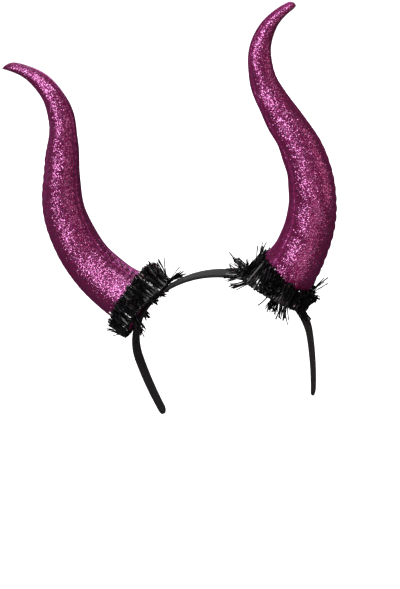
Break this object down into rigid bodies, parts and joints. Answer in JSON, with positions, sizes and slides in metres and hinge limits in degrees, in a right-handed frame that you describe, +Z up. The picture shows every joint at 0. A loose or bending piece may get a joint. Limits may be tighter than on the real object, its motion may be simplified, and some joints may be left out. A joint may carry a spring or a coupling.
{
  "type": "devil horns headpiece",
  "caption": "Costume headpiece: long S-curved stuffed horns of magenta glitter cloth, with black tinsel round their bases, standing on a black cloth-wrapped headband.",
  "frame": {"origin": "crown point: the middle of the headband's top, on its inside, where it sits on a head", "axes": "+Z up, away from the head; +X to the right of someone who looks at the front; the front faces -Y"},
  "size_m": [0.2706, 0.0973, 0.3424],
  "materials": {
    "black_cloth": "matte woven cloth wrapped round the band",
    "glitter_cloth": "magenta cloth covered with fine glitter",
    "black_film": "glossy cut film strips"
  },
  "bodies": {
    "root": {"headband": "black_cloth", "horn_left": "glitter_cloth", "horn_right": "glitter_cloth", "tinsel_left": "black_film", "tinsel_right": "black_film"}
  },
  "joints": []
}
